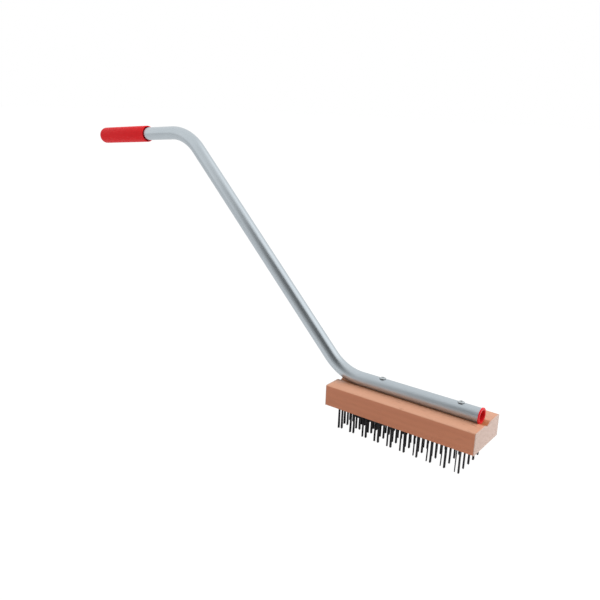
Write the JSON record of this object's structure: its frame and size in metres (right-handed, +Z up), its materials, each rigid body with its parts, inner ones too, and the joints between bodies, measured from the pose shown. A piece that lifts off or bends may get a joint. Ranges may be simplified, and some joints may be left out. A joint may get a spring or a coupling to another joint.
{
  "type": "wire scrub brush",
  "caption": "Long-handled scrub brush: wooden block with stiff flat-wire tufts, cranked steel tube handle screwed in a groove on its top, soft sleeve grip, push-in end plug.",
  "frame": {"origin": "on the plane of the bristle tips, at the middle of the brush's overall length and width", "axes": "+X along the block towards the handle's plugged end, +Y across the block, +Z up from the bristles to the handle"},
  "size_m": [0.753, 0.076, 0.4062],
  "materials": {
    "wood": "bare sanded hardwood",
    "galvanised_tube": "bright zinc plate, slightly streaked",
    "red_grip": "soft gloss vinyl",
    "red_plug": "gloss moulded plastic",
    "screw_steel": "zinc plate",
    "staple_steel": "bright steel",
    "dark_wire": "blue-black tempered spring steel"
  },
  "bodies": {
    "root": {"wood_block": "wood", "handle_tube": "galvanised_tube", "hand_grip": "red_grip", "end_plug": "red_plug", "tube_screws": "screw_steel", "anchor_staples": "staple_steel", "tuft_row1_col01": "dark_wire", "tuft_row1_col02": "dark_wire", "tuft_row1_col03": "dark_wire", "tuft_row1_col04": "dark_wire", "tuft_row1_col05": "dark_wire", "tuft_row1_col06": "dark_wire", "tuft_row1_col07": "dark_wire", "tuft_row1_col08": "dark_wire", "tuft_row1_col09": "dark_wire", "tuft_row1_col10": "dark_wire", "tuft_row2_col01": "dark_wire", "tuft_row2_col02": "dark_wire", "tuft_row2_col03": "dark_wire", "tuft_row2_col04": "dark_wire", "tuft_row2_col05": "dark_wire", "tuft_row2_col06": "dark_wire", "tuft_row2_col07": "dark_wire", "tuft_row2_col08": "dark_wire", "tuft_row2_col09": "dark_wire", "tuft_row2_col10": "dark_wire", "tuft_row3_col01": "dark_wire", "tuft_row3_col02": "dark_wire", "tuft_row3_col03": "dark_wire", "tuft_row3_col04": "dark_wire", "tuft_row3_col05": "dark_wire", "tuft_row3_col06": "dark_wire", "tuft_row3_col07": "dark_wire", "tuft_row3_col08": "dark_wire", "tuft_row3_col09": "dark_wire", "tuft_row3_col10": "dark_wire", "tuft_row4_col01": "dark_wire", "tuft_row4_col02": "dark_wire", "tuft_row4_col03": "dark_wire", "tuft_row4_col04": "dark_wire", "tuft_row4_col05": "dark_wire", "tuft_row4_col06": "dark_wire", "tuft_row4_col07": "dark_wire", "tuft_row4_col08": "dark_wire", "tuft_row4_col09": "dark_wire", "tuft_row4_col10": "dark_wire", "tuft_row5_col01": "dark_wire", "tuft_row5_col02": "dark_wire", "tuft_row5_col03": "dark_wire", "tuft_row5_col04": "dark_wire", "tuft_row5_col05": "dark_wire", "tuft_row5_col06": "dark_wire", "tuft_row5_col07": "dark_wire", "tuft_row5_col08": "dark_wire", "tuft_row5_col09": "dark_wire", "tuft_row5_col10": "dark_wire"}
  },
  "joints": []
}
